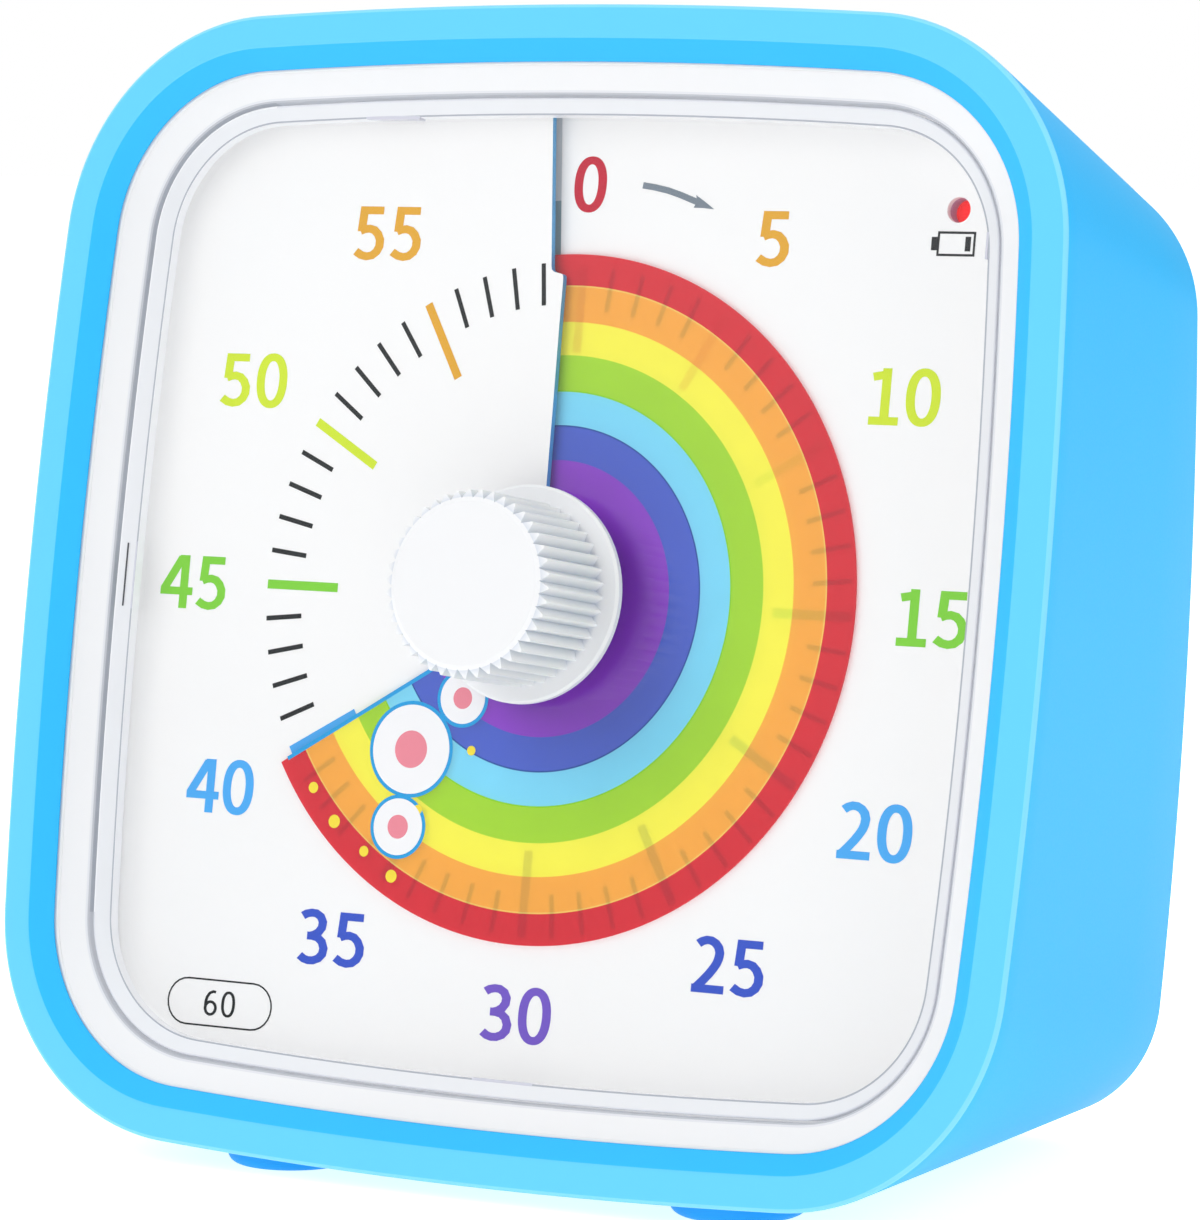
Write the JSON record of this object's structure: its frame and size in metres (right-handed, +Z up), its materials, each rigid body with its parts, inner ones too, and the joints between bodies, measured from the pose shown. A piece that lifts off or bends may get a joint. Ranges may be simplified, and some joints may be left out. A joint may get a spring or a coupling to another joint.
{
  "type": "visual countdown timer",
  "caption": "Square desk timer with a leaning lens-covered dial, a ribbed centre knob, a coloured disc that winds out through a slit, and a soft protective sleeve.",
  "frame": {"origin": "middle of the bounding box's underside, on the table under the feet", "axes": "+Z up from the table, +X to the right as seen from the dial side, -Y towards the viewer of the dial"},
  "size_m": [0.0858, 0.049, 0.0858],
  "materials": {
    "sleeve_rubber": "soft satin silicone",
    "white_shell": "fine matt moulding",
    "clear_lens": "polished clear plastic",
    "printed_card": "white sheet with printed scale",
    "rainbow_film": "thin sheet printed with colour rings",
    "knob_plastic": "satin white moulding",
    "inner_plastic": "grey moulding",
    "gear_plastic": "natural acetal",
    "bright_steel": "bright drawn steel",
    "motor_can": "plated can",
    "board": "green laminate",
    "red_lamp": "clear red resin",
    "black_plastic": "black moulding",
    "cell_wrap": "printed shrink wrap",
    "slider_grey": "dark grey moulding",
    "switch_can": "plated frame"
  },
  "bodies": {
    "case": {"protective_sleeve": "sleeve_rubber", "front_shell": "white_shell", "clear_window": "clear_lens", "dial_card": "printed_card", "carrier_plate": "inner_plastic", "intermediate_arbor": "bright_steel", "gear_motor": "motor_can", "gear_plate": "inner_plastic", "circuit_board": "board", "low_battery_lamp": "red_lamp", "piezo_buzzer": "black_plastic", "battery_cell": "cell_wrap", "negative_spring": "bright_steel", "positive_contact": "bright_steel", "rear_shell": "white_shell", "slide_switches": "switch_can", "case_screws": "bright_steel", "plate_screws": "bright_steel"},
    "spindle": {"drive_shaft": "bright_steel", "knob": "knob_plastic", "shaft_clip": "bright_steel", "clutch_spring": "bright_steel"},
    "disc": {"time_disc": "rainbow_film", "disc_hub": "inner_plastic"},
    "centre_wheel": {"centre_wheel": "gear_plastic"},
    "intermediate_gear": {"intermediate_gear": "gear_plastic"},
    "motor_pinion": {"motor_pinion": "gear_plastic"},
    "battery_door": {"battery_door": "white_shell"},
    "volume_slider": {"volume_slider": "slider_grey"},
    "duration_slider": {"duration_slider": "slider_grey"}
  },
  "joints": [
    {"name": "knob_turn", "type": "hinge", "parent": "case", "child": "spindle", "pos_m": [0, -0.01144, 0.04255], "axis": [0, 0.9848, -0.1736], "range_deg": [-241, 115]},
    {"name": "disc_feed", "type": "slide", "parent": "spindle", "child": "disc", "axis": [0, -0.9848, 0.1736], "range_m": [-0.00075, 0.00038]},
    {"name": "centre_wheel_turn", "type": "hinge", "parent": "case", "child": "centre_wheel", "pos_m": [0, -0.01144, 0.04255], "axis": [0, 0.9848, -0.1736], "range_deg": [-241, 115]},
    {"name": "intermediate_gear_turn", "type": "hinge", "parent": "case", "child": "intermediate_gear", "pos_m": [0, -0.00811, 0.06146], "axis": [0, 0.9848, -0.1736], "range_deg": [-345, 723]},
    {"name": "motor_pinion_turn", "type": "hinge", "parent": "case", "child": "motor_pinion", "pos_m": [-0.016, -0.00811, 0.06146], "axis": [0, 0.9848, -0.1736], "range_deg": [-2169, 1035]},
    {"name": "door_open", "type": "hinge", "parent": "case", "child": "battery_door", "pos_m": [0, 0.01797, 0.01456], "axis": [-1, 0, 0], "range_deg": [0, 85]},
    {"name": "volume_slide", "type": "slide", "parent": "case", "child": "volume_slider", "axis": [1, 0, 0], "range_m": [-0.0025, 0.0025]},
    {"name": "duration_slide", "type": "slide", "parent": "case", "child": "duration_slider", "axis": [1, 0, 0], "range_m": [0, 0.003]}
  ],
  "couplings": [
    {"joint": "disc_feed", "follows": "knob_turn", "m_per_rad": 0.00016711},
    {"joint": "centre_wheel_turn", "follows": "knob_turn", "ratio": 1},
    {"joint": "intermediate_gear_turn", "follows": "knob_turn", "ratio": -3},
    {"joint": "motor_pinion_turn", "follows": "knob_turn", "ratio": 9}
  ]
}
